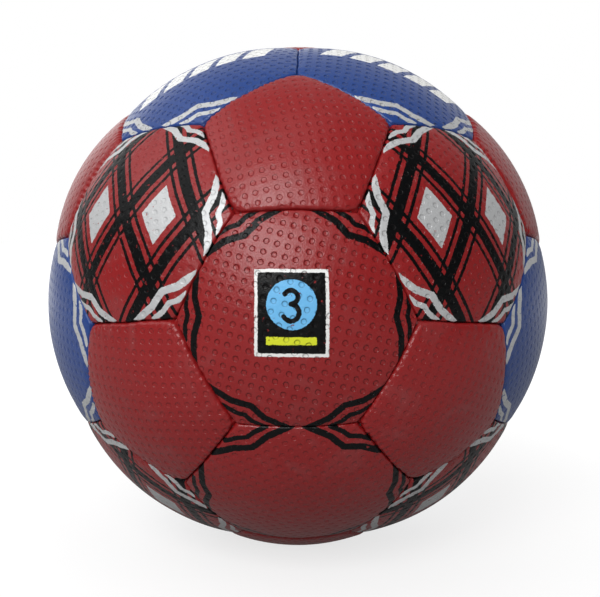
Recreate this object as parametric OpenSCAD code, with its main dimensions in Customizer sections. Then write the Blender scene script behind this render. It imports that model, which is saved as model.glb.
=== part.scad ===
// Size 3 handball: a hand-stitched casing of 12 pentagon and 20 hexagon panels around an air bladder.
// The origin is the ball's centre. -Y runs through the front hexagon, +Y through the valve, +Z is up.

/* [Ball] */
// Diameter over the crowns of the panels
ball_d = 188; // [160:1:192]
// How far a panel's surface falls from its crown to its seam
seam_drop = 1.3; // [0.8:0.1:2]

/* [Panels] */
// Thickness of the grained cover skin
skin_t = 1.2; // [0.9:0.1:1.5]
// Outside radius of the fold at a panel's edge
fold_r = 3; // [2.4:0.1:3.6]
// Gap between the turned-in hems of two panels
hem_gap = 0.2; // [0.1:0.05:0.4]
// Thickness of the foam under the middle of a skin, where the seams don't pinch it
foam_t = 3.4; // [3:0.1:4.4]
// Thickness of the woven lining bonded under the foam
lining_t = 1.3; // [0.8:0.1:1.8]
// Diameter of the stitching thread
thread_d = 0.7; // [0.5:0.05:0.9]

/* [Bladder] */
// Thickness of the bladder's wall
bladder_t = 0.9; // [0.6:0.1:1.4]
// Room between the bladder and the casing
bladder_gap = 0.1; // [0.05:0.05:0.3]

/* [Valve] */
// Diameter of the valve's stem
stem_d = 9; // [8:0.5:11]
// Length of the valve's stem
stem_len = 17; // [15:0.5:20]
// Depth of the stem's face below the panel's crown
stem_recess = 0.6; // [0.3:0.1:1.2]
// Clearance of the stem in the casing, the bladder and the patch
stem_gap = 0.2; // [0.1:0.05:0.4]
// Diameter of the flange that is bonded under the patch
flange_d = 28; // [22:1:34]
// Thickness of that flange
flange_t = 1.2; // [0.8:0.1:1.8]
// Diameter of the reinforcing patch inside the bladder
patch_d = 34; // [26:1:38]
// Thickness of that patch
patch_t = 0.8; // [0.5:0.1:0.9]
// Diameter of the core that seals the stem
core_d = 5.2; // [4.6:0.1:6]
// Length of the core
core_len = 14; // [13:0.5:14.5]
// Diameter of the rib that keeps the core in the stem
rib_d = 6.4; // [6.2:0.1:7]
// Length of that rib
rib_len = 1.6; // [1:0.1:2.5]
// Diameter of the needle's bore
needle_bore_d = 2.2; // [2.1:0.05:2.4]
// Length of the needle's bore
needle_bore_len = 9; // [7:0.5:10]
// Diameter of the mouth that guides the needle in
mouth_d = 3.8; // [3:0.1:4.2]
// Depth of that mouth
mouth_len = 1.2; // [0.8:0.1:1.8]
// Diameter of the air passage behind the core
passage_d = 1.6; // [1:0.1:2]

/* [Hidden] */
$fn = 96;

// How far cuts run past what they cut
overrun = 1;
// How far a fold stands over the crown where they meet, so that they cross cleanly
fold_overlap = 0.05;
// Flats across a fold, and along each seam
fold_steps = 4;
seam_steps = 4;
// Room for the glue between the bladder, the patch and the flange
bond_gap = 0.1;
// Length of a seam that the thread leaves bare at each corner, where three folds crowd it
thread_end = 3.4;
// Clearance of the thread over the folds that it lies between
thread_gap = 0.1;

hem_half_gap = hem_gap / 2;
ball_r = ball_d / 2;
seam_r = ball_r - seam_drop;
lining_r = ball_r - skin_t - foam_t;
casing_r = lining_r - lining_t;
bladder_r = casing_r - bladder_gap;

// Angles of the truncated icosahedron, in degrees. The golden ratio sets them all.
golden = (1 + sqrt(5)) / 2;
hexagon_inner_angle = atan(1 / pow(golden, 2));
pentagon_to_hexagon_angle = atan(3 - sqrt(5));
pentagon_inner_angle = pentagon_to_hexagon_angle - hexagon_inner_angle;
half_seam_angle = asin(2 / sqrt(58 + 18 * sqrt(5)));
full_turn = 360;
half_turn = full_turn / 2;
third_turn = full_turn / 3;
right_angle = full_turn / 4;

// Rings of panels around the front hexagon, as angles from -Y
near_ring = 2 * hexagon_inner_angle;
rim_ring = 2 * asin(1 / sqrt(3));
pentagon_rim_ring = near_ring + pentagon_to_hexagon_angle;
// Half the turn between the two hexagons of a pair on the rim
pair_half_turn = asin(sin(hexagon_inner_angle) / sin(rim_ring));

// Turns about -Y, seen from the front: 0 is to the right and 90 is up
up = right_angle;
left_low = up + third_turn;
right_low = up + 2 * third_turn;
down = up + half_turn;
left_high = right_low - half_turn;
right_high = left_low - half_turn;

RED = "firebrick";
BLUE = "royalblue";

// Each row is a panel's name, its angle from -Y, its turn about -Y and its colour
PENTAGONS = [
    ["pentagon_front_top", pentagon_to_hexagon_angle, up, RED],
    ["pentagon_front_left", pentagon_to_hexagon_angle, left_low, RED],
    ["pentagon_front_right", pentagon_to_hexagon_angle, right_low, RED],
    ["pentagon_rim_bottom", pentagon_rim_ring, down, RED],
    ["pentagon_rim_right", pentagon_rim_ring, right_high, RED],
    ["pentagon_rim_left", pentagon_rim_ring, left_high, RED],
    ["pentagon_rear_top", half_turn - pentagon_rim_ring, up, RED],
    ["pentagon_rear_left", half_turn - pentagon_rim_ring, left_low, RED],
    ["pentagon_rear_right", half_turn - pentagon_rim_ring, right_low, RED],
    ["pentagon_back_bottom", half_turn - pentagon_to_hexagon_angle, down, RED],
    ["pentagon_back_right", half_turn - pentagon_to_hexagon_angle, right_high, RED],
    ["pentagon_back_left", half_turn - pentagon_to_hexagon_angle, left_high, RED],
];
HEXAGONS = [
    ["hexagon_front", 0, up, RED],
    ["hexagon_front_bottom", near_ring, down, RED],
    ["hexagon_front_right", near_ring, right_high, RED],
    ["hexagon_front_left", near_ring, left_high, RED],
    ["hexagon_crown_right", rim_ring, up - pair_half_turn, BLUE],
    ["hexagon_crown_left", rim_ring, up + pair_half_turn, BLUE],
    ["hexagon_left_upper", rim_ring, left_low - pair_half_turn, BLUE],
    ["hexagon_left_lower", rim_ring, left_low + pair_half_turn, RED],
    ["hexagon_right_lower", rim_ring, right_low - pair_half_turn, RED],
    ["hexagon_right_upper", rim_ring, right_low + pair_half_turn, BLUE],
    ["hexagon_base_left", half_turn - rim_ring, down - pair_half_turn, BLUE],
    ["hexagon_base_right", half_turn - rim_ring, down + pair_half_turn, BLUE],
    ["hexagon_rear_right_lower", half_turn - rim_ring, right_high - pair_half_turn, BLUE],
    ["hexagon_rear_right_upper", half_turn - rim_ring, right_high + pair_half_turn, RED],
    ["hexagon_rear_left_upper", half_turn - rim_ring, left_high - pair_half_turn, RED],
    ["hexagon_rear_left_lower", half_turn - rim_ring, left_high + pair_half_turn, BLUE],
    ["hexagon_back_top", half_turn - near_ring, up, RED],
    ["hexagon_back_left", half_turn - near_ring, left_low, RED],
    ["hexagon_back_right", half_turn - near_ring, right_low, RED],
    ["hexagon_valve", half_turn, up, RED],
];

INNER_NODES = [
    "pentagon_foams", "hexagon_foams", "pentagon_linings", "hexagon_linings", "seam_thread",
    "bladder", "valve_patch", "valve_stem", "valve_core",
];

// Geometry on the sphere

function unit(v) = v / norm(v);
function axis_of(row) = [
    sin(row[1]) * cos(row[2]),
    -cos(row[1]),
    sin(row[1]) * sin(row[2]),
];
function angle_between(a, b) = acos(max(-1, min(1, a * b)));

PENTAGON_AXES = [for (row = PENTAGONS) axis_of(row)];
HEXAGON_AXES = [for (row = HEXAGONS) axis_of(row)];

// A panel is turned by its nearest hexagons: the first of them lies across the seam on local +X
far_enough = pentagon_to_hexagon_angle / 2;
near_enough = (near_ring + rim_ring) / 2;
function is_neighbour(a, b) = angle_between(a, b) > far_enough && angle_between(a, b) < near_enough;
function first_neighbour(axis) = [for (other = HEXAGON_AXES) if (is_neighbour(axis, other)) other][0];

// A seam is [direction of its middle, direction square to its plane]
function seam(mid, a, b) = [mid, unit(b - a - (b - a) * mid * mid)];
function pentagon_seam_middle(pentagon, hexagon) =
    sin(hexagon_inner_angle) * pentagon + sin(pentagon_inner_angle) * hexagon;
SEAMS = concat(
    [for (a = PENTAGON_AXES) for (b = HEXAGON_AXES) if (is_neighbour(a, b))
        seam(unit(pentagon_seam_middle(a, b)), a, b)],
    [for (i = [0 : len(HEXAGON_AXES) - 1]) for (j = [i + 1 : 1 : len(HEXAGON_AXES) - 1])
        if (is_neighbour(HEXAGON_AXES[i], HEXAGON_AXES[j]))
            seam(unit(HEXAGON_AXES[i] + HEXAGON_AXES[j]), HEXAGON_AXES[i], HEXAGON_AXES[j])]
);

// Puts local +Z on an axis, with local +X on the side of another direction
module facing(axis, side) {
    x = unit(side - (side * axis) * axis);
    y = cross(axis, x);
    multmatrix([
        [x[0], y[0], axis[0], 0],
        [x[1], y[1], axis[1], 0],
        [x[2], y[2], axis[2], 0],
        [0, 0, 0, 1],
    ]) children();
}

// One panel, built on local +Z

// A sphere whose poles lie to the side of the panel
module ball(radius) {
    rotate([right_angle, 0, 0]) sphere(r = radius);
}

// A panel's crown is part of a smaller sphere, moved out until it still touches the ball at the middle
function crown_shift(inner_angle) =
    (pow(ball_r, 2) - pow(seam_r, 2)) / (2 * (ball_r - seam_r * cos(inner_angle)));
function crown_r(inner_angle) = ball_r - crown_shift(inner_angle);

module crown(inner_angle, depth) {
    translate([0, 0, crown_shift(inner_angle)]) ball(crown_r(inner_angle) - depth);
}

// A pyramid on the ball's centre whose sides stand inset from the seam planes
module wedge(sides, inner_angle, inset) {
    height = ball_r + overrun;
    rim = height * tan(inner_angle) / cos(half_turn / sides);
    translate([0, 0, inset / sin(inner_angle)])
        rotate([0, 0, half_turn / sides])
            cylinder(h = height, r1 = 0, r2 = rim, $fn = sides);
}

// Where a panel's outline crosses one of its meridians: inset from the seam plane, on a sphere round the
// crown's centre
function outline_point(inner_angle, side_turn, azimuth, inset, radius) =
    let(
        seam_angle = atan(tan(inner_angle) / cos(azimuth)),
        centre = crown_shift(inner_angle),
        across = inset * sin(seam_angle) / sin(inner_angle),
        along = centre * cos(seam_angle) + sqrt(pow(radius, 2) - pow(across - centre * sin(seam_angle), 2)),
        out = along * sin(seam_angle) - across * cos(seam_angle),
        height = along * cos(seam_angle) + across * sin(seam_angle)
    )
    [out * cos(side_turn + azimuth), out * sin(side_turn + azimuth), height];

// One ring of points round the panel, at an angle of the fold: 0 at the hem, 90 at the crown
function fold_ring(sides, inner_angle, fold_angle) = [
    for (side = [0 : sides - 1]) for (step = [0 : seam_steps - 1])
        outline_point(
            inner_angle,
            side * full_turn / sides,
            (2 * step / seam_steps - 1) * half_turn / sides,
            hem_half_gap + fold_r * (1 - cos(fold_angle)),
            crown_r(inner_angle) - fold_r * (1 - sin(fold_angle)) + fold_overlap
        )
];

// A panel's outline down to the ball's centre: flat sides, folded edges, and a flat top over the crown
module outline(sides, inner_angle) {
    count = sides * seam_steps;
    rings = [for (step = [0 : fold_steps]) fold_ring(sides, inner_angle, right_angle * step / fold_steps)];
    roof = [for (point = rings[fold_steps]) point * (ball_r + overrun) / point[2]];
    centre = [0, 0, hem_half_gap / sin(inner_angle)];
    layers = fold_steps + 1;
    polyhedron(
        points = concat([for (ring = rings) each ring], roof, [centre]),
        faces = concat(
            [for (i = [0 : count - 1]) [layers * count + count, i, (i + 1) % count]],
            [for (layer = [0 : layers - 1]) for (i = [0 : count - 1])
                each quad(layer * count + i, layer * count + (i + 1) % count, count)],
            [[for (i = [count - 1 : -1 : 0]) layers * count + i]]
        )
    );
}
function quad(a, b, up_step) = [[a, a + up_step, b], [b, a + up_step, b + up_step]];

// The skin is a tray: a crowned top, rounded folds and a hem turned in along each seam
module skin(sides, inner_angle) {
    difference() {
        intersection() {
            outline(sides, inner_angle);
            crown(inner_angle, 0);
        }
        foam_block(sides, inner_angle);
        lining_block(sides, inner_angle);
        ball(casing_r);
    }
}

// The foam is trimmed back from the folds and fills the tray down to the lining
fold_inset = hem_half_gap + fold_r;

module foam_block(sides, inner_angle) {
    intersection() {
        wedge(sides, inner_angle, fold_inset);
        crown(inner_angle, skin_t);
    }
}

module foam(sides, inner_angle) {
    difference() {
        foam_block(sides, inner_angle);
        ball(lining_r);
    }
}

// The lining reaches the hems
module lining_block(sides, inner_angle) {
    intersection() {
        wedge(sides, inner_angle, hem_half_gap + skin_t);
        ball(lining_r);
    }
}

module lining(sides, inner_angle) {
    difference() {
        lining_block(sides, inner_angle);
        ball(casing_r);
    }
}

// Puts a panel's piece in its place
module at_panel(row) {
    facing(axis_of(row), first_neighbour(axis_of(row))) children();
}

module pentagon_skin(row) {
    color(row[3]) at_panel(row) skin(5, pentagon_inner_angle);
}

module hexagon_skin(row) {
    color(row[3]) difference() {
        at_panel(row) skin(6, hexagon_inner_angle);
        if (row[0] == "hexagon_valve") on_valve_axis() stem_hole();
    }
}

// The valve, built on local +Z and turned to +Y

stem_r = stem_d / 2;
stem_top = ball_r - stem_recess;
stem_bottom = stem_top - stem_len;
core_bottom = stem_top - core_len;
rib_middle = stem_top - core_len / 2;
bladder_inner_r = bladder_r - bladder_t;
patch_r = bladder_inner_r - bond_gap;

module on_valve_axis() {
    rotate([-right_angle, 0, 0]) children();
}

module shell_disc(outer_r, thickness, disc_d) {
    intersection() {
        difference() {
            sphere(r = outer_r);
            sphere(r = outer_r - thickness);
        }
        cylinder(h = ball_r, d = disc_d);
    }
}

module stem_hole() {
    translate([0, 0, stem_bottom - overrun])
        cylinder(h = stem_len + stem_recess + 2 * overrun, r = stem_r + stem_gap);
}

// The core's outline, which is also the stem's bore
module core_outline() {
    translate([0, core_bottom]) square([core_d / 2, core_len]);
    translate([0, rib_middle - rib_len / 2]) square([rib_d / 2, rib_len]);
}

module needle_outline() {
    bore_top = stem_top - mouth_len;
    bore_bottom = bore_top - needle_bore_len;
    polygon([
        [0, bore_bottom],
        [needle_bore_d / 2, bore_bottom],
        [needle_bore_d / 2, bore_top],
        [mouth_d / 2, stem_top],
        [mouth_d / 2, stem_top + overrun],
        [0, stem_top + overrun],
    ]);
}

module valve_core() {
    color("dimgray") on_valve_axis() rotate_extrude() difference() {
        core_outline();
        needle_outline();
    }
}

module valve_stem() {
    color("black") on_valve_axis() difference() {
        union() {
            translate([0, 0, stem_bottom]) cylinder(h = stem_len, r = stem_r);
            shell_disc(patch_r - patch_t - bond_gap, flange_t, flange_d);
        }
        rotate_extrude() core_outline();
        translate([0, 0, core_bottom - core_d / 2]) cylinder(h = core_d / 2 + overrun, d = core_d);
        translate([0, 0, stem_bottom - overrun]) cylinder(h = stem_len, d = passage_d);
    }
}

module valve_patch() {
    color("tan") on_valve_axis() difference() {
        shell_disc(patch_r, patch_t, patch_d);
        stem_hole();
    }
}

module bladder() {
    color("dimgray") difference() {
        sphere(r = bladder_r);
        sphere(r = bladder_inner_r);
        on_valve_axis() stem_hole();
    }
}

// The layers under the skins

module pentagon_foams() {
    color("ivory") for (row = PENTAGONS) at_panel(row) foam(5, pentagon_inner_angle);
}

module pentagon_linings() {
    color("whitesmoke") for (row = PENTAGONS) at_panel(row) lining(5, pentagon_inner_angle);
}

module hexagon_foams() {
    color("ivory") difference() {
        for (row = HEXAGONS) at_panel(row) foam(6, hexagon_inner_angle);
        on_valve_axis() stem_hole();
    }
}

module hexagon_linings() {
    color("whitesmoke") difference() {
        for (row = HEXAGONS) at_panel(row) lining(6, hexagon_inner_angle);
        on_valve_axis() stem_hole();
    }
}

// The thread lies in the groove between two folds and follows them down towards the corners

thread_r = thread_d / 2;
thread_shift = crown_shift(hexagon_inner_angle) * cos(hexagon_inner_angle);
fold_middle_r = norm(outline_point(pentagon_inner_angle, 0, 0, fold_inset, crown_r(pentagon_inner_angle) - fold_r));
thread_height = sqrt(pow(fold_r + thread_r + thread_gap, 2) - pow(fold_inset, 2));
thread_ring_r = fold_middle_r + thread_height - thread_shift;
thread_half_angle = (half_seam_angle * PI / half_turn * seam_r - thread_end) / thread_ring_r * half_turn / PI;

module seam_thread() {
    color("maroon") for (s = SEAMS)
        facing(s[1], s[0])
            translate([thread_shift, 0, 0])
                rotate([0, 0, -thread_half_angle])
                    rotate_extrude(angle = 2 * thread_half_angle)
                        translate([thread_ring_r, 0]) circle(r = thread_r);
}

for (row = PENTAGONS)
    pentagon_skin(row);
for (row = HEXAGONS)
    hexagon_skin(row);
pentagon_foams();
hexagon_foams();
pentagon_linings();
hexagon_linings();
seam_thread();
bladder();
valve_patch();
valve_stem();
valve_core();
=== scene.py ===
import math

import bpy
import numpy as np
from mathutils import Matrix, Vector


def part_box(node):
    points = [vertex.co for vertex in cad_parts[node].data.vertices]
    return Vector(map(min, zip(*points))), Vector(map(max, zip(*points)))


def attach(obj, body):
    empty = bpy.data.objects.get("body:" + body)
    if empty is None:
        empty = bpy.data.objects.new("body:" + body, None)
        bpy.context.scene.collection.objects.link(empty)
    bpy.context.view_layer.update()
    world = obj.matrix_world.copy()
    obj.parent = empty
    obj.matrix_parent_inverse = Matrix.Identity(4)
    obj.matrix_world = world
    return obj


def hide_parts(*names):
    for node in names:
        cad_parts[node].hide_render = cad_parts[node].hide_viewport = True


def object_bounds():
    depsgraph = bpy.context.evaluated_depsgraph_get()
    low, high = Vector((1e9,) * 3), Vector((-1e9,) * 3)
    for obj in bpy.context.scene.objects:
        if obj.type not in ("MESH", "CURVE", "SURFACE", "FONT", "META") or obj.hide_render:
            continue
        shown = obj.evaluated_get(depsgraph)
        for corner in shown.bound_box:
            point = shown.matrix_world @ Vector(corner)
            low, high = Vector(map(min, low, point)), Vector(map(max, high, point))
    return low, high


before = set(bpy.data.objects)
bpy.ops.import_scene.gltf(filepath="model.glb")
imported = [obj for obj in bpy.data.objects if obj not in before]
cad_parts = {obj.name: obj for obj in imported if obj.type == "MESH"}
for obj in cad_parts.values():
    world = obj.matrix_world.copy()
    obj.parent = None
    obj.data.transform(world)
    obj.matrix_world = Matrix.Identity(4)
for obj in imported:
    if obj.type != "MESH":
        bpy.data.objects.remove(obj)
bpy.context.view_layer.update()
MM = 0.001

# Bladder and patch
# The bladder is a sphere dipped from latex and dusted with talc, so that it doesn't stick to the casing.
# A disc of crepe rubber is vulcanised to its inside, where the valve goes through. Talc makes the latex look
# cloudy and quite dull, and the crepe is a rough, matt tan.


def linear(hex_colour):
    """An sRGB hex colour as the linear RGBA that a shader takes."""
    parts = [int(hex_colour[i:i + 2], 16) / 255 for i in (1, 3, 5)]
    return [c / 12.92 if c <= 0.04045 else ((c + 0.055) / 1.055)**2.4 for c in parts] + [1.0]


def add(tree, kind, settings=None, links=None):
    """Adds a node, sets its properties and sockets, and links sockets to the outputs of other nodes."""
    node = tree.nodes.new(kind)
    for key, value in (settings or {}).items():
        if isinstance(key, str) and hasattr(node, key):
            setattr(node, key, value)
        else:
            node.inputs[key].default_value = value
    for key, (source, output) in (links or {}).items():
        tree.links.new(source.outputs[output], node.inputs[key])
    return node


def new_tree(thing):
    thing.use_nodes = True
    thing.node_tree.nodes.clear()
    return thing.node_tree


def split(values):
    """Parts what goes into sockets: plain values, and outputs of nodes, which are given as (node, output)."""
    linked = {key: value for key, value in values.items() if isinstance(value, tuple)}
    return {key: value for key, value in values.items() if key not in linked}, linked


def lay(tree, film, under, over, kind="RGBA"):
    """Lays a value over another as far as a film covers it. Each is a colour, a number or a node's output."""
    first, output = (6, 2) if kind == "RGBA" else (2, 0)
    plain, linked = split({"Factor": film, first: under, first + 1: over})
    return add(tree, "ShaderNodeMix", {"data_type": kind, **plain}, linked), output


def speckle(tree, place, size, detail, distortion=0.0):
    """Random blots of about the given size, all over an object."""
    return add(
        tree, "ShaderNodeTexNoise", {"Scale": 1 / size, "Detail": detail, "Distortion": distortion},
        {"Vector": (place, "Object")},
    ), "Fac"


def two_tone(name, dark, light, mottle_size, grain_size, grain_depth, roughness):
    """A matt material whose colour drifts between two tones, with a fine random grain."""
    material = bpy.data.materials.new(name)
    tree = new_tree(material)
    place = add(tree, "ShaderNodeTexCoord")
    colour = lay(tree, speckle(tree, place, mottle_size, 4.0), linear(dark), linear(light))
    grain = speckle(tree, place, grain_size, 2.0)
    bump = add(tree, "ShaderNodeBump", {"Strength": 0.6, "Distance": grain_depth}, {"Height": grain})
    shader = add(
        tree, "ShaderNodeBsdfPrincipled", {"Roughness": roughness, "IOR": 1.52},
        {"Base Color": colour, "Normal": (bump, "Normal")},
    )
    add(tree, "ShaderNodeOutputMaterial", None, {"Surface": (shader, "BSDF")})
    return material


def dress(node, material):
    for material_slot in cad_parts[node].material_slots:
        material_slot.material = material


dress("bladder", two_tone("dipped_latex_talc", "#262524", "#57534e", 14 * MM, 0.6 * MM, 0.08 * MM, 0.8))
dress("valve_patch", two_tone("crepe_rubber", "#7d6743", "#9a8357", 9 * MM, 1.2 * MM, 0.15 * MM, 0.75))

# Valve
# A stem of soft butyl rubber, moulded in one with the flange that is cemented under the patch, and a core
# pressed into it that closes round the inflation needle. Only their faces show, at the back: smooth, nearly
# black rubber, and in its middle the core, a little paler and glossier from the oil that the needle leaves.
butyl = two_tone("moulded_butyl_rubber", "#131314", "#1e1e1f", 6 * MM, 0.4 * MM, 0.04 * MM, 0.5)
greased = two_tone("moulded_butyl_rubber_oiled", "#232324", "#313132", 5 * MM, 0.35 * MM, 0.03 * MM, 0.38)
dress("valve_stem", butyl)
dress("valve_core", greased)

# Lining and foam
# Under each cover lie layers of woven polyester and cotton, laminated with latex, and a sheet of closed-cell
# foam. Both are glued to the cover before the blank is cut out. The cloth is an off-white weave, rough and
# with a faint sheen from loose fibres, and the foam is cream, matt and finely pitted.


def calc(tree, operation, *values):
    """One sum, of numbers and outputs of nodes."""
    plain, linked = split(dict(enumerate(values)))
    return add(tree, "ShaderNodeMath", {"operation": operation, **plain}, linked), 0


cloth = bpy.data.materials.new("woven_cotton_laminate")
tree = new_tree(cloth)
place = add(tree, "ShaderNodeTexCoord")
thread_spacing = 0.7 * MM
# A wave texture of scale 1 has twenty radians to the metre
waves_scale = 2 * math.pi / 20 / thread_spacing
warp, weft = (
    (add(
        tree, "ShaderNodeTexWave", {"bands_direction": direction, "Scale": waves_scale, "Distortion": 0.6},
        {"Vector": (place, "Object")},
    ), "Fac")
    for direction in ("X", "Z")
)
weave = calc(tree, "MAXIMUM", warp, weft)
shade = lay(tree, weave, linear("#a8a396"), linear("#dedbd0"))
bump = add(tree, "ShaderNodeBump", {"Strength": 0.7, "Distance": 0.15 * MM}, {"Height": weave})
shader = add(
    tree, "ShaderNodeBsdfPrincipled", {"Roughness": 0.92, "Sheen Weight": 0.2},
    {"Base Color": shade, "Normal": (bump, "Normal")},
)
add(tree, "ShaderNodeOutputMaterial", None, {"Surface": (shader, "BSDF")})
foam = two_tone("closed_cell_foam", "#cdc6b2", "#e0dac8", 8 * MM, 0.5 * MM, 0.2 * MM, 0.9)
for sort in ("pentagon", "hexagon"):
    dress(sort + "_linings", cloth)
    dress(sort + "_foams", foam)

# Panel blanks
# 12 pentagons and 20 hexagons with equal edges, die-cut from embossed synthetic leather and sewn inside out
# along their turned-in edges, so that each puffs up between its seams and is drawn in at every stitch.

# Every panel's place follows from the golden ratio: its angle from -Y and its turn about -Y
golden = (1 + math.sqrt(5)) / 2
hexagon_inner = math.atan(1 / golden**2)
pentagon_to_hexagon = math.atan(3 - math.sqrt(5))
pentagon_inner = pentagon_to_hexagon - hexagon_inner
half_seam = math.asin(2 / math.sqrt(58 + 18 * math.sqrt(5)))
near_ring = 2 * hexagon_inner
rim_ring = 2 * math.asin(1 / math.sqrt(3))
pentagon_rim = near_ring + pentagon_to_hexagon
pair_half_turn = math.asin(math.sin(hexagon_inner) / math.sin(rim_ring))
right_high, up, left_high, left_low, down, right_low = (math.radians(d) for d in (30, 90, 150, 210, 270, 330))
PENTAGONS = {
    "pentagon_front_top": (pentagon_to_hexagon, up),
    "pentagon_front_left": (pentagon_to_hexagon, left_low),
    "pentagon_front_right": (pentagon_to_hexagon, right_low),
    "pentagon_rim_bottom": (pentagon_rim, down),
    "pentagon_rim_right": (pentagon_rim, right_high),
    "pentagon_rim_left": (pentagon_rim, left_high),
    "pentagon_rear_top": (math.pi - pentagon_rim, up),
    "pentagon_rear_left": (math.pi - pentagon_rim, left_low),
    "pentagon_rear_right": (math.pi - pentagon_rim, right_low),
    "pentagon_back_bottom": (math.pi - pentagon_to_hexagon, down),
    "pentagon_back_right": (math.pi - pentagon_to_hexagon, right_high),
    "pentagon_back_left": (math.pi - pentagon_to_hexagon, left_high),
}
HEXAGONS = {
    "hexagon_front": (0, up),
    "hexagon_front_bottom": (near_ring, down),
    "hexagon_front_right": (near_ring, right_high),
    "hexagon_front_left": (near_ring, left_high),
    "hexagon_crown_right": (rim_ring, up - pair_half_turn),
    "hexagon_crown_left": (rim_ring, up + pair_half_turn),
    "hexagon_left_upper": (rim_ring, left_low - pair_half_turn),
    "hexagon_left_lower": (rim_ring, left_low + pair_half_turn),
    "hexagon_right_lower": (rim_ring, right_low - pair_half_turn),
    "hexagon_right_upper": (rim_ring, right_low + pair_half_turn),
    "hexagon_base_left": (math.pi - rim_ring, down - pair_half_turn),
    "hexagon_base_right": (math.pi - rim_ring, down + pair_half_turn),
    "hexagon_rear_right_lower": (math.pi - rim_ring, right_high - pair_half_turn),
    "hexagon_rear_right_upper": (math.pi - rim_ring, right_high + pair_half_turn),
    "hexagon_rear_left_upper": (math.pi - rim_ring, left_high - pair_half_turn),
    "hexagon_rear_left_lower": (math.pi - rim_ring, left_high + pair_half_turn),
    "hexagon_back_top": (math.pi - near_ring, up),
    "hexagon_back_left": (math.pi - near_ring, left_low),
    "hexagon_back_right": (math.pi - near_ring, right_low),
    "hexagon_valve": (math.pi, up),
}
AXES = {
    name: np.array([math.sin(angle) * math.cos(turn), -math.cos(angle), math.sin(angle) * math.sin(turn)])
    for name, (angle, turn) in {**PENTAGONS, **HEXAGONS}.items()
}


def unit(v):
    return v / np.linalg.norm(v, axis=-1, keepdims=True)


def neighbours(name):
    """The panels that share a seam with this one, in order round it."""
    axis = AXES[name]
    near = [
        other for other in AXES
        if other != name and axis @ AXES[other] > math.cos(math.radians(50))
        and not (name in PENTAGONS and other in PENTAGONS)
    ]
    x = unit(AXES[near[0]] - axis * (axis @ AXES[near[0]]))
    y = np.cross(axis, x)
    return sorted(near, key=lambda other: math.atan2(AXES[other] @ y, AXES[other] @ x))


# Sizes of the sewn panels
ball_r = -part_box("hexagon_front")[0][1]
seam_drop = 1.3 * MM
seam_r = ball_r - seam_drop
hem_gap = 0.05 * MM
hem_depth = 1.6 * MM
stitch_pitch = 4.2 * MM
stitch_pull = 0.25 * MM
pull_reach = 1.4 * MM
pull_drift = 5 * MM
turn_in = 1.2 * MM
broad_wrinkle = 4.5 * MM
broad_reach = 4 * MM
fine_wrinkle = 1.9 * MM
fine_reach = 1.3 * MM
crease_pitch = 2.1 * MM
crease_drift = 5 * MM
crease_patch = 13 * MM
sag_size = 16 * MM
valve_hole_r = 4.75 * MM
valve_hole_depth = 2.4 * MM
valve_lip = 1 * MM
valve_lip_drop = 0.5 * MM
lattice_step = 0.4 * MM
edge_rings = 10


def lattice(sides, rows, first_row):
    """A polygon of triangles in rings round its middle: its places, their ring numbers, and its faces."""
    corners = np.array([
        [math.cos((2 * s - 1) * math.pi / sides), math.sin((2 * s - 1) * math.pi / sides)]
        for s in range(sides + 1)
    ]) / math.cos(math.pi / sides)
    places, rings, starts, count = [np.zeros((1, 2))], [np.zeros(1, int)], {0: 0}, 1
    for row in range(1, rows + 1):
        along = np.arange(row)[:, None] / row
        places += [corners[s] * (1 - along) + corners[s + 1] * along for s in range(sides)]
        rings.append(np.full(sides * row, row))
        starts[row] = count
        count += sides * row
    places, rings = np.concatenate(places), np.concatenate(rings)
    faces = []
    for row in range(first_row + 1, rows + 1):
        inner_count, outer_count = max(1, sides * (row - 1)), sides * row
        for s in range(sides):
            j = np.arange(row)
            outer = starts[row] + (s * row + j) % outer_count
            outer_next = starts[row] + (s * row + j + 1) % outer_count
            inner = starts[row - 1] + (s * (row - 1) + j) % inner_count
            inner_next = starts[row - 1] + (s * (row - 1) + j + 1) % inner_count
            faces.append(np.stack([inner, outer, outer_next], 1))
            faces.append(np.stack([inner, outer_next, inner_next], 1)[:-1])
    last = starts[rows] + np.arange(sides * rows)
    return places * (rings / rows)[:, None], rings, np.concatenate(faces), last


def noise(points, size, seed):
    """Smooth noise from -1 to 1, with bumps of about the given size."""
    table = np.random.default_rng(seed).random((32, 32, 32))
    p = points / size + 100
    cell = np.floor(p).astype(int)
    t = p - cell
    t = t * t * (3 - 2 * t)
    total = 0
    for corner in np.ndindex(2, 2, 2):
        weight = np.prod(np.where(corner, t, 1 - t), axis=1)
        index = (cell + corner) % 32
        total = total + weight * table[index[:, 0], index[:, 1], index[:, 2]]
    return 2 * total - 1


def smoothstep(low, high, x):
    t = np.clip((x - low) / (high - low), 0, 1)
    return t * t * (3 - 2 * t)


def settle(direction):
    """Lets the seams wander a little, as hand sewing does, except round the valve."""
    long_drift, short_drift, still_r, free_r = 21 * MM, 7 * MM, 8 * MM, 25 * MM
    place = direction * ball_r
    drift = np.stack([
        0.55 * noise(place, long_drift, seed) + 0.2 * noise(place, short_drift, seed + 3)
        for seed in (11, 12, 13)
    ], 1)
    hold = smoothstep(still_r, free_r, np.linalg.norm(place - [0, ball_r, 0], axis=1))
    return unit(place + drift * MM * hold[:, None])


# Small round wells with a flat floor are embossed into the sheet on a square grid, before the blanks are cut
# at any turn. They are modelled, and the material sharpens their walls.
dent_pitch = 3.35 * MM
dent_r = 0.95 * MM
dent_wall = 0.38 * MM
crisp_wall = 0.26 * MM
dent_depth = 0.14 * MM
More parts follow.
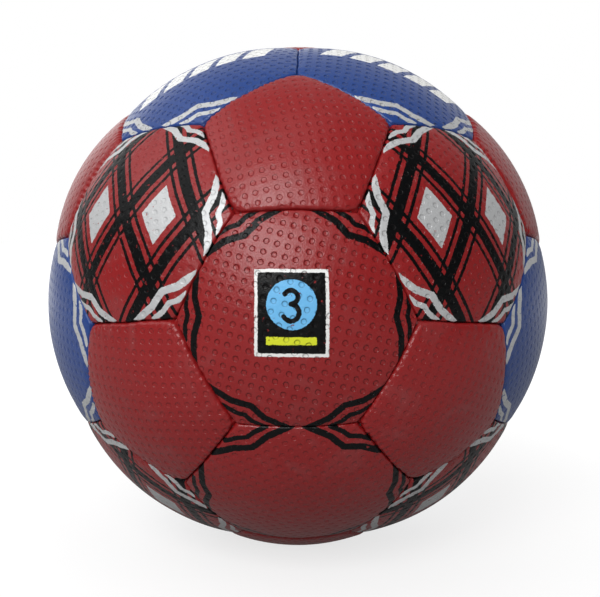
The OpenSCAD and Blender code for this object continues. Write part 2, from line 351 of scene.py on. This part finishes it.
# The grain fades out towards the seams between these distances
grain_free, grain_full = 0.2 * MM, 1.2 * MM
GRAIN_TURNS = {"hexagon_front": -15, "pentagon_front_top": 11}
GRAIN_DEPTHS = {
    "hexagon_front": 1, "pentagon_front_top": 0.7, "pentagon_front_left": 0.65,
    "hexagon_crown_left": 1, "hexagon_crown_right": 1,
}


class Panel:
    """The surface of one sewn panel: its points, and where each lies on the flat blank."""

    def __init__(self, name, seed, hole_r=0):
        self.name, self.axis = name, AXES[name]
        self.inner = pentagon_inner if name in PENTAGONS else hexagon_inner
        self.around = neighbours(name)
        self.rng = np.random.default_rng(seed)
        # A pentagon stands proud of the hexagons round it and rolls over further, as it is sewn in last
        if name in PENTAGONS:
            self.rise, self.edge_r, self.corner_round = 0.35 * MM, 1.15 * MM, 1.3 * MM
            self.shoulder_drop, self.shoulder_width = 0.24 * MM, 3 * MM
        else:
            self.rise, self.edge_r, self.corner_round = 0, 0.7 * MM, 0.4 * MM
            self.shoulder_drop, self.shoulder_width = 0.3 * MM, 3.5 * MM
        sides = len(self.around)
        x = unit(AXES[self.around[0]] - self.axis * (self.axis @ AXES[self.around[0]]))
        y = np.cross(self.axis, x)
        turns = np.arange(sides) * 2 * math.pi / sides
        mid_x, mid_y = np.cos(turns)[:, None], np.sin(turns)[:, None]
        self.seam_in = math.sin(self.inner) * self.axis - math.cos(self.inner) * (mid_x * x + mid_y * y)
        self.seam_along = mid_x * y - mid_y * x

        # Rings over the crown, then closer rings round the turned-in edge
        rows = round(ball_r * 2 * half_seam / lattice_step)
        first_row = 2 if hole_r else 0
        flat, rings, faces, last = lattice(sides, rows, first_row)
        edge = flat[last]
        flat = flat * self.share(hem_gap + self.edge_r)
        if hole_r:
            flat = self.widen(flat, rings / rows, first_row / rows, hole_r / ball_r / math.tan(self.inner))
        for step in range(1, edge_rings + 1):
            inset = hem_gap + self.edge_r * (1 - math.cos(math.pi / 2 * (1 - step / edge_rings)))
            flat = np.concatenate([flat, edge * self.share(inset)])
        flat = np.concatenate([flat, edge * self.share(hem_gap)])
        start, size = len(rings), len(last)
        loops = [last] + [start + k * size + np.arange(size) for k in range(edge_rings + 1)]
        self.hem = np.zeros(len(flat))
        self.hem[-size:] = hem_depth
        for a, b in zip(loops, loops[1:]):
            a_next, b_next = np.roll(a, -1), np.roll(b, -1)
            faces = np.concatenate([faces, np.stack([a, b, b_next], 1), np.stack([a, b_next, a_next], 1)])
        if hole_r:
            rim = np.nonzero(rings == first_row)[0]
            wall = np.arange(len(rim)) + len(flat)
            flat = np.concatenate([flat, flat[rim]])
            self.hem = np.concatenate([self.hem, np.full(len(rim), valve_hole_depth)])
            rim_next, wall_next = np.roll(rim, -1), np.roll(wall, -1)
            faces = np.concatenate([
                faces, np.stack([rim, rim_next, wall_next], 1), np.stack([rim, wall_next, wall], 1)
            ])
        self.faces = faces
        plane = flat * math.tan(self.inner)
        self.direction = unit(self.axis + plane[:, :1] * x + plane[:, 1:] * y)

        ahead = np.array([0, 0, 1.0]) if abs(self.axis[2]) < 0.8 else np.array([0, 1.0, 0])
        self.right = unit(np.cross(ahead, self.axis))
        self.ahead = np.cross(self.axis, self.right)
        self.across, self.high = self.on_blank(self.direction)
        self.shape(hole_r)

    def share(self, inset):
        """How far out a ring at this inset lies, as a share of the way to the seams."""
        return math.tan(self.inner - math.asin(inset / seam_r)) / math.tan(self.inner)

    def widen(self, flat, ring, start, reach):
        """Moves the middle rings outwards until the first of them lies round the valve."""
        out = np.maximum(np.linalg.norm(flat, axis=1), 1e-9)
        fade = 1 - smoothstep(start, 0.5, ring)
        wanted = reach + (ring - start) * (1 - reach) / (1 - start)
        return flat * (fade * wanted / out + 1 - fade)[:, None]

    def on_blank(self, direction):
        """Places on the flat blank, in metres to the right and upwards from its middle."""
        sine = np.clip(np.linalg.norm(np.cross(direction, self.axis), axis=-1), 1e-9, 1)
        spread = ball_r * np.arcsin(sine) / sine
        return direction @ self.right * spread, direction @ self.ahead * spread

    def shape(self, hole_r):
        """Works out the points: a domed crown, shoulders, edges drawn in at the stitches, and dents."""
        seams = self.direction @ self.seam_in.T * seam_r
        nearest = np.argmin(seams, axis=1)[:, None]
        along = np.take_along_axis(self.direction @ self.seam_along.T * seam_r, nearest, 1)[:, 0]
        place = self.direction * ball_r
        pull = 0.5 + 0.5 * np.cos(2 * math.pi * along / stitch_pitch)
        strength = 0.6 + 0.4 * noise(place, pull_drift, 3)
        inset = -self.corner_round * np.log(np.exp(-seams / self.corner_round).sum(axis=1))
        inset -= stitch_pull * pull * strength * np.exp(-np.maximum(inset, 0) / pull_reach)
        over = np.clip(self.edge_r + hem_gap - inset, 0, self.edge_r)
        edge = self.edge_r - np.sqrt(self.edge_r**2 - over**2) + np.clip(hem_gap - inset, 0, turn_in)
        shoulder = self.shoulder_drop * np.clip(1 - inset / self.shoulder_width, 0, 1)**2
        shift = (ball_r**2 - seam_r**2) / (2 * (ball_r - seam_r * math.cos(self.inner)))
        cosine = self.direction @ self.axis
        crown = shift * cosine + np.sqrt((ball_r - shift)**2 - shift**2 * (1 - cosine**2))
        self.inset = inset
        # Wrinkles in millimetres, broad ones near the seams and fine ones right at them
        near_seam = np.exp(-np.maximum(inset, 0) / broad_reach)
        at_seam = np.exp(-np.maximum(inset, 0) / fine_reach)
        wrinkle = (0.16 * noise(place, broad_wrinkle, 5) - 0.1 * pull) * near_seam
        wrinkle += (0.2 if self.name in PENTAGONS else 0.12) * noise(place, fine_wrinkle, 6) * at_seam
        # Where a pentagon's thread is pulled tightest, its edge gathers into fine creases across the seam
        if self.name in PENTAGONS:
            wave = np.sin(2 * math.pi * along / crease_pitch + 1.5 * noise(place, crease_drift, 8))
            wrinkle += 0.3 * np.clip(0.6 + 1.2 * noise(place, crease_patch, 7), 0, 1) * wave * at_seam
        sag = 0.1 * noise(place, sag_size, 9)

        turn = math.radians(GRAIN_TURNS.get(self.name, self.rng.uniform(-45, 45)))
        a = (self.across * math.cos(turn) + self.high * math.sin(turn)) / dent_pitch + self.rng.random()
        b = (self.high * math.cos(turn) - self.across * math.sin(turn)) / dent_pitch + self.rng.random()
        strongest = GRAIN_DEPTHS.get(self.name, self.rng.uniform(0.5, 0.8))
        fade = smoothstep(grain_free, grain_full, inset) * strongest
        if hole_r:
            out = np.hypot(self.across, self.high)
            edge = edge + valve_lip_drop * np.clip(1 - (out - hole_r) / valve_lip, 0, 1)**2
            fade = fade * smoothstep(hole_r + valve_lip, hole_r + 2 * valve_lip, out)
        self.grain = np.stack([a, b, fade], 1)
        off = np.hypot(a - np.floor(a) - 0.5, b - np.floor(b) - 0.5) * dent_pitch
        dent = (1 - smoothstep(dent_r - dent_wall, dent_r, off)) * fade
        radius = crown + self.rise - edge - shoulder + (wrinkle + sag) * MM - dent_depth * dent - self.hem
        self.points = settle(self.direction) * radius[:, None]


def make_mesh(name, points, faces, layers=None):
    """A smooth mesh object, with one value or vector per point in each named layer."""
    mesh = bpy.data.meshes.new(name)
    mesh.vertices.add(len(points))
    mesh.vertices.foreach_set("co", points.astype(np.float32).ravel())
    mesh.loops.add(faces.size)
    mesh.loops.foreach_set("vertex_index", faces.astype(np.int32).ravel())
    mesh.polygons.add(len(faces))
    mesh.polygons.foreach_set("loop_start", np.arange(0, faces.size, faces.shape[1], dtype=np.int32))
    mesh.update(calc_edges=True)
    mesh.validate()
    mesh.shade_smooth()
    for layer, values in (layers or {}).items():
        kind, field = ("FLOAT", "value") if values.ndim == 1 else ("FLOAT_VECTOR", "vector")
        mesh.attributes.new(layer, kind, "POINT").data.foreach_set(field, values.astype(np.float32).ravel())
    piece = bpy.data.objects.new(name, mesh)
    bpy.context.collection.objects.link(piece)
    return piece


# Printing
# The sheet is screen-printed before it is cut: stripes that bend round the corners of a hexagon, a net of
# black bars with silver lozenges, rows of white blocks, and a size mark on the front. Each print sits a
# little off its blank, and its edges are slightly ragged from the grain.
BLUE_PANELS = {
    "hexagon_crown_right", "hexagon_crown_left", "hexagon_left_upper", "hexagon_right_upper",
    "hexagon_base_left", "hexagon_base_right", "hexagon_rear_right_lower", "hexagon_rear_left_lower",
}
BLACK_STRIPED = {"hexagon_front", "hexagon_front_bottom", "hexagon_valve"}
WITH_BLOCKS = {"hexagon_crown_right", "hexagon_crown_left", "hexagon_base_left", "hexagon_base_right"}


def off_line(a, b, start, end):
    """How far places are from a straight line between two points."""
    run = np.subtract(end, start)
    t = np.clip(((a - start[0]) * run[0] + (b - start[1]) * run[1]) / (run @ run), 0, 1)
    return np.hypot(a - start[0] - t * run[0], b - start[1] - t * run[1])


def path(a, b, points, half_width):
    """How far inside a stripe along some points places are: above zero in it, below beside it."""
    return half_width - np.minimum.reduce([off_line(a, b, *ends) for ends in zip(points, points[1:])])


def corner_stripes(panel, a, b):
    """Two stripes round a corner, bent in the middle, with their ends along the seams.

    Panels with rows of blocks that lie side by side leave the corners between them bare.
    """
    found = []
    for first, second in zip(panel.around, panel.around[1:] + panel.around[:1]):
        if panel.name in WITH_BLOCKS and WITH_BLOCKS & {first, second}:
            continue
        corner = np.array(panel.on_blank(unit(AXES[first] + AXES[second] + panel.axis)))
        inwards = -unit(corner)
        u = (a - corner[0]) * inwards[0] + (b - corner[1]) * inwards[1]
        v = (b - corner[1]) * inwards[0] - (a - corner[0]) * inwards[1]
        half_bends = ((-67, 16.5), (-42, 8.7), (0, 8.2), (42, 8.7), (67, 16.5))
        bends = [(math.radians(turn), reach * MM) for turn, reach in half_bends]
        for size, half_width in ((1, 1.15 * MM), (0.5, 0.85 * MM)):
            points = [(reach * size * math.cos(t), reach * size * math.sin(t)) for t, reach in bends]
            found.append(path(u, v, points, half_width))
    return np.maximum.reduce(found)


lozenge_width = 28 * MM
lozenge_height = 44 * MM
lozenge_thick = lozenge_width * lozenge_height / math.hypot(lozenge_width, lozenge_height)
bar_half = 1.9 * MM
line_half = 0.55 * MM
line_off = 3.9 * MM
core_half = 5.4 * MM


def lozenge_net(a, b):
    """A net of bars with a thin line on either side, and two filled lozenges in its middle."""
    near_middle = np.abs(a) < lozenge_width
    a = a + lozenge_width / 2
    turned = [2 * a / lozenge_width + 2 * b / lozenge_height, 2 * a / lozenge_width - 2 * b / lozenge_height]
    cells = [np.round(c / 2) for c in turned]
    inside = [np.abs(c - 2 * cell) * lozenge_thick / 2 for c, cell in zip(turned, cells)]
    from_bar = [lozenge_thick / 2 - i for i in inside]
    net = np.maximum.reduce(
        [bar_half - off for off in from_bar] + [line_half - np.abs(off - line_off) for off in from_bar]
    )
    core = np.where(near_middle & (cells[0] == cells[1]), core_half - np.maximum(*inside), -1 * MM)
    return net, core


def slanted_blocks(a, b):
    """A row of five slanted blocks."""
    pitch, half_width, half_height, slant, rise = 10.2 * MM, 3.8 * MM, 7 * MM, 0.35, 1 * MM
    lean = a - slant * b
    step = np.clip(np.round(lean / pitch), -2, 2) * pitch
    return np.minimum(half_width - np.abs(lean - step), half_height - np.abs(b - rise))


def rectangle(a, b, middle, half_width, half_height):
    return np.minimum(half_width - np.abs(a - middle[0]), half_height - np.abs(b - middle[1]))


def arc(a, b, middle, r, start, end, half_width):
    turns = np.radians(np.linspace(start, end, 13))
    return path(a, b, [(middle[0] + r * math.cos(t), middle[1] + r * math.sin(t)) for t in turns], half_width)


def size_mark(a, b):
    """A black label with a white edge, and on a pale blue disc the numeral 3 over a yellow bar."""
    middle, half_width, half_height, margin = (-1.6 * MM, 2.7 * MM), 11 * MM, 13 * MM, 1 * MM
    upper_bowl, lower_bowl, stroke_half = (-0.2 * MM, 4.75 * MM), (-0.2 * MM, 0.3 * MM), 0.75 * MM
    disc_r, disc_up, bar_down, bar_half_height = 7.4 * MM, 2.6 * MM, 8.2 * MM, 1.2 * MM
    a, b = a - middle[0], b - middle[1]
    ground = rectangle(a, b, (0, 0), half_width, half_height)
    inside = rectangle(a, b, (0, 0), half_width - margin, half_height - margin)
    disc = disc_r - np.hypot(a, b - disc_up)
    numeral = np.maximum(
        arc(a, b, upper_bowl, 2 * MM, 150, -90, stroke_half),
        arc(a, b, lower_bowl, 2.4 * MM, 90, -150, stroke_half),
    )
    return {
        "black": ground,
        "white": np.minimum(ground, -inside),
        "blue": np.minimum(disc, -numeral),
        "yellow": rectangle(a, b, (0, -bar_down), disc_r, bar_half_height),
    }


INK_ORDER = ("black", "silver", "white", "blue", "yellow")


def print_blank(panel):
    """The inks on a blank: for each, how far inside its printed shape every point is."""
    if panel.name in PENTAGONS:
        return {}
    shift = panel.rng.uniform(-0.6, 0.6, 2) * MM
    a, b = panel.across + shift[0], panel.high + shift[1]
    stripes = corner_stripes(panel, a, b)
    if panel.name == "hexagon_front":
        inks = size_mark(panel.across, panel.high)
        return {**inks, "black": np.maximum(inks["black"], stripes)}
    if panel.name in BLACK_STRIPED:
        return {"black": stripes}
    # Silver is brittle, and flakes off where the sheet is folded at the seams
    flaked, steepness = 0.6 * MM, 3
    stripes = stripes - steepness * np.clip(flaked - panel.inset, 0, 1 * MM)
    inks = {"silver": stripes}
    if panel.name in WITH_BLOCKS:
        inks["white"] = slanted_blocks(a, b)
    elif panel.name not in BLUE_PANELS:
        inks["black"], core = lozenge_net(a, b)
        inks["silver"] = np.maximum(stripes, core)
    return inks


# The cover itself is a polyurethane film on cloth: satin, with a fine matt grain that breaks up its sheen,
# and a colour that drifts a little. The inks lie on it as thin films: semi-gloss black, satin colours, and
# silver with metal flakes. Each has a colour, a share of metal, a roughness and a strength of reflection.
INKS = {
    "black": ("#0a0b0c", 0.0, 0.34, 0.16),
    "silver": ("#c2c3c4", 0.3, 0.46, 0.42),
    "white": ("#e6e6e4", 0.0, 0.42, 0.42),
    "blue": ("#69b3e4", 0.0, 0.42, 0.3),
    "yellow": ("#d3da2c", 0.0, 0.42, 0.3),
}
rag = 0.25 * MM
rag_size = 0.8 * MM
ink_fade = 0.08 * MM
chip_size = 1.8 * MM
rub_size = 12 * MM
drift_size = 26 * MM
# The film's own grain is too fine to show at the picture's size, so it is drawn coarser
film_grain = 0.6 * MM
film_bump = 0.12 * MM
dent_bump = 0.19 * MM


def grade(tree, source, start, end, low, high, kind="SMOOTHSTEP"):
    """Turns a value that runs from start to end into one that runs from low to high."""
    return add(
        tree, "ShaderNodeMapRange",
        {"interpolation_type": kind, "From Min": start, "From Max": end, "To Min": low, "To Max": high},
        {"Value": source},
    ), 0


def cover_material(name, base, inks):
    """The printed film, with the inks laid over it one after another."""
    material = bpy.data.materials.new(name)
    tree = new_tree(material)
    place = add(tree, "ShaderNodeTexCoord")
    dye = linear(base)[:3]
    mottle = speckle(tree, place, drift_size, 4.0)
    colour = lay(tree, mottle, [0.9 * c for c in dye] + [1], [1.1 * c for c in dye] + [1])
    grain = speckle(tree, place, film_grain, 3.0)
    roughness = grade(tree, grain, 0.0, 1.0, 0.27, 0.42, "LINEAR")
    metallic, specular = 0.0, 0.47
    # Handling leaves dusty, rubbed places on the crowns, and knocks small chips out of the inks
    rub = grade(tree, speckle(tree, place, rub_size, 5.0, 1.2), 0.56, 0.76, 0.0, 0.35, "LINEAR")
    whole = grade(tree, speckle(tree, place, chip_size, 3.0), 0.68, 0.71, 1.0, 0.2, "LINEAR")
    colour = lay(tree, rub, colour, [0.72 * c + 0.05 for c in dye] + [1])
    ragged = grade(tree, speckle(tree, place, rag_size, 2.0), 0.0, 1.0, -rag, rag, "LINEAR")
    for ink in inks:
        ink_colour, ink_metallic, ink_roughness, ink_specular = INKS[ink]
        inside = add(tree, "ShaderNodeAttribute", {"attribute_name": ink + "_ink"})
        edge = calc(tree, "ADD", (inside, "Fac"), ragged)
        film = calc(tree, "MULTIPLY", grade(tree, edge, -ink_fade, ink_fade, 0.0, 1.0), whole)
        colour = lay(tree, film, colour, linear(ink_colour))
        roughness = lay(tree, film, roughness, ink_roughness, "FLOAT")
        specular = lay(tree, film, specular, ink_specular, "FLOAT")
        if ink_metallic or metallic:
            metallic = lay(tree, film, metallic, ink_metallic, "FLOAT")
    # Dents: the same round wells as in the mesh, with crisper walls
    dent_place = add(tree, "ShaderNodeAttribute", {"attribute_name": "grain_place"})
    axes = add(tree, "ShaderNodeSeparateXYZ", None, {0: (dent_place, "Vector")})
    cell = [calc(tree, "SUBTRACT", calc(tree, "FRACT", (axes, k)), 0.5) for k in (0, 1)]
    from_middle = add(tree, "ShaderNodeCombineXYZ", None, {0: cell[0], 1: cell[1]})
    off = (add(tree, "ShaderNodeVectorMath", {"operation": "LENGTH"}, {0: (from_middle, 0)}), "Value")
    well = grade(tree, off, (dent_r - crisp_wall) / dent_pitch, dent_r / dent_pitch, -1.0, 0.0)
    well = calc(tree, "MULTIPLY", well, (axes, 2))
    dents = add(tree, "ShaderNodeBump", {"Strength": 1.0, "Distance": dent_bump}, {"Height": well})
    # Painted shade darkens the foot of each wall, in place of the shade that the bumped walls cannot cast
    from_foot = calc(tree, "ABSOLUTE", calc(tree, "SUBTRACT", off, 0.8 * dent_r / dent_pitch))
    well_shade = grade(tree, from_foot, 0.0, 0.1, 0.32, 0.0)
    well_shade = calc(tree, "MULTIPLY", well_shade, calc(tree, "POWER", (axes, 2), 2.0))
    colour = lay(tree, well_shade, colour, linear("#180a0a"))
    skin = add(
        tree, "ShaderNodeBump", {"Strength": 1.0, "Distance": film_bump},
        {"Height": grain, "Normal": (dents, 0)},
    )
    plain, linked = split({
        "Base Color": colour, "Roughness": roughness, "Specular IOR Level": specular, "Metallic": metallic,
        "Normal": (skin, 0),
    })
    shader = add(tree, "ShaderNodeBsdfPrincipled", plain, linked)
    add(tree, "ShaderNodeOutputMaterial", None, {"Surface": (shader, "BSDF")})
    return material


covers = {}
for seed, name in enumerate(AXES):
    hole_r = valve_hole_r if name == "hexagon_valve" else 0
    panel = Panel(name, seed, hole_r)
    inks = print_blank(panel)
    used = tuple(ink for ink in INK_ORDER if ink in inks)
    dye, base = ("blue", "#1f3f80") if name in BLUE_PANELS else ("red", "#8a1719")
    if (dye, used) not in covers:
        words = ["embossed_synthetic_leather", dye, *(ink + "_ink" for ink in used)]
        covers[dye, used] = cover_material("_".join(words), base, used)
    layers = {"grain_place": panel.grain, **{ink + "_ink": inks[ink] for ink in used}}
    piece = make_mesh(name + "_cover", panel.points, panel.faces, layers)
    piece.data.materials.append(covers[dye, used])
    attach(piece, "root")
    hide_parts(name)

# Seam stitches
# Two waxed polyester threads cross from panel to panel at each pair of holes and are pulled tight, so that
# short slanted stitches lie deep between the edges and barely show. The thread is dark red and dull, with a
# faint softness from the wax.
stitch_r = 0.28 * MM
stitch_half = 0.7 * MM
stitch_depth = 1.7 * MM
stitch_slant = 0.55
stitch_dip = 0.35 * MM
stitches_each_side = 4
ring_size = 8
ring_count = 7
ring_turns = np.linspace(0, 2 * math.pi, ring_size, endpoint=False)
points, faces, count = [], [], 0
for first in AXES:
    for second in neighbours(first):
        if second < first:
            continue
        inner = [pentagon_inner if name in PENTAGONS else hexagon_inner for name in (first, second)]
        middle = unit(math.sin(inner[1]) * AXES[first] + math.sin(inner[0]) * AXES[second])
        across = unit(AXES[second] - AXES[first] - middle * ((AXES[second] - AXES[first]) @ middle))
        along = np.cross(middle, across)
        for k in range(-stitches_each_side, stitches_each_side + 1):
            angle = k * stitch_pitch / seam_r
            outwards = math.cos(angle) * middle + math.sin(angle) * along
            forward = math.cos(angle) * along - math.sin(angle) * middle
            slant = unit(across + stitch_slant * forward)
            side = np.cross(outwards, slant)
            centre = settle(outwards[None])[0] * (seam_r - stitch_depth)
            for t in np.linspace(-1, 1, ring_count):
                width = stitch_r * math.sqrt(max(0.05, 1 - abs(t)**3))
                points.append(
                    centre + slant * stitch_half * t - outwards * stitch_dip * t * t
                    + width * (np.cos(ring_turns)[:, None] * side + np.sin(ring_turns)[:, None] * outwards)
                )
            for ring in range(ring_count - 1):
                a = count + ring * ring_size + np.arange(ring_size)
                b = count + ring * ring_size + (np.arange(ring_size) + 1) % ring_size
                faces.append(np.stack([a, b, b + ring_size, a + ring_size], 1))
            count += ring_count * ring_size
stitches = make_mesh("seam_stitches", np.concatenate(points), np.concatenate(faces))
stitches.data.materials.append(
    two_tone("waxed_polyester_thread", "#220b0c", "#451618", 2 * MM, 0.25 * MM, 0.05 * MM, 0.6)
)
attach(stitches, "root")
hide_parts("seam_thread")

# Table, light and camera
# The ball stands on white paper that fades out to plain white. A soft light stands high in front, a little to
# the left, with weaker ones beside, behind and above, and a fill from all round that gives no glare. The
# camera looks slightly down at the front.
floor_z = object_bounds()[0][2]
floor_half = 3.0
floor = make_mesh(
    "table", np.array([[-1, -1, 0], [1, -1, 0], [1, 1, 0], [-1, 1, 0]]) * floor_half + [0, 0, floor_z],
    np.array([[0, 1, 2, 3]]),
)
paper = bpy.data.materials.new("white_paper")
tree = new_tree(paper)


def seen_rays(tree):
    """Camera, glossy and transmission rays, which see the white surround, and not the light that falls."""
    ray = add(tree, "ShaderNodeLightPath")
    seen = calc(tree, "MAXIMUM", (ray, "Is Camera Ray"), (ray, "Is Glossy Ray"))
    return calc(tree, "MAXIMUM", seen, (ray, "Is Transmission Ray"))


# The matt paper also glows, more so away from the ball, so that it keeps the shadow and has no horizon. To
# reflections it glows chiefly behind the ball, or the covers' lower halves would look veiled.
place = add(tree, "ShaderNodeNewGeometry")
from_ball = add(tree, "ShaderNodeVectorMath", {"operation": "LENGTH"}, {0: (place, "Position")})
outwards_glow = grade(tree, (from_ball, "Value"), 0.1, 0.5, 0.74, 0.96)
seen_glow = calc(tree, "MULTIPLY", outwards_glow, seen_rays(tree))
axes = add(tree, "ShaderNodeSeparateXYZ", None, {0: (place, "Position")})
ray = add(tree, "ShaderNodeLightPath")
behind = calc(tree, "MAXIMUM", grade(tree, (axes, "Y"), 0.0, 1.0, 0.15, 1.0), (ray, "Is Camera Ray"))
matt = add(tree, "ShaderNodeBsdfDiffuse", {"Color": linear("#8e8e8e")})
glow = add(tree, "ShaderNodeEmission", None, {"Strength": calc(tree, "MULTIPLY", seen_glow, behind)})
both = add(tree, "ShaderNodeAddShader", None, {0: (matt, 0), 1: (glow, 0)})
add(tree, "ShaderNodeOutputMaterial", None, {"Surface": (both, 0)})
floor.data.materials.append(paper)

# The surround is white to the camera. To reflections it is white behind the ball and dim before and below
# it. The light that falls from it is even, but stronger from behind on the right, without a glare there.
world = bpy.data.worlds.new("white_surround")
bpy.context.scene.world = world
tree = new_tree(world)
sight = add(tree, "ShaderNodeTexCoord")
toward = add(tree, "ShaderNodeSeparateXYZ", None, {0: (sight, "Generated")})
at_back = grade(tree, (toward, "Y"), 0.1, 1.0, 0.03, 1.0)
overhead = grade(tree, (toward, "Z"), -0.15, 0.3, 0.22, 0.85)
ray = add(tree, "ShaderNodeLightPath")
backdrop = calc(tree, "MAXIMUM", calc(tree, "MULTIPLY", at_back, overhead), (ray, "Is Camera Ray"))
rear_right = add(
    tree, "ShaderNodeVectorMath", {"operation": "DOT_PRODUCT", 1: (0.45, 0.89, 0)}, {0: (sight, "Generated")}
)
fill = grade(tree, (rear_right, "Value"), 0.0, 0.8, 0.41, 1.0)
level = lay(tree, seen_rays(tree), fill, backdrop, "FLOAT")
sky = add(tree, "ShaderNodeBackground", {"Color": (1, 1, 1, 1)}, {"Strength": level})
add(tree, "ShaderNodeOutputWorld", None, {"Surface": (sky, 0)})


def stand(thing, azimuth, elevation, distance, at):
    """Puts a lamp or camera on a sphere round the ball, turned to a point."""
    azimuth, elevation = math.radians(azimuth), math.radians(elevation)
    thing.location = Vector((
        distance * math.cos(elevation) * math.sin(azimuth),
        -distance * math.cos(elevation) * math.cos(azimuth),
        distance * math.sin(elevation),
    ))
    thing.rotation_euler = (thing.location - Vector(at)).to_track_quat("Z", "Y").to_euler()
    bpy.context.collection.objects.link(thing)


def soft_light(name, azimuth, elevation, distance, size, power):
    """A square lamp, turned in degrees from the front and upwards, in metres and watts."""
    lamp = bpy.data.lights.new(name, "AREA")
    lamp.shape = "SQUARE"
    lamp.size = size
    lamp.energy = power
    stand(bpy.data.objects.new(name, lamp), azimuth, elevation, distance, (0, 0, 0))


soft_light("front_softbox", -16, 30, 1.0, 0.48, 7.0)
soft_light("side_softbox", -80, 45, 1.0, 0.7, 2.2)
soft_light("back_softbox", -160, 10, 1.0, 0.8, 2.0)
soft_light("top_softbox", -8, 75, 1.0, 0.4, 0.6)

# The camera's place and lens are fitted to the seams and the outline in the photo
lens = bpy.data.cameras.new("camera")
lens.sensor_width = 36
lens.lens = 59.3
lens.clip_start = 0.01
camera = bpy.data.objects.new("camera", lens)
stand(camera, azimuth=0.27, elevation=5.03, distance=382.8 * MM, at=(0.77 * MM, 0, -1.51 * MM))
bpy.context.scene.camera = camera
bpy.context.scene.view_settings.view_transform = "Standard"
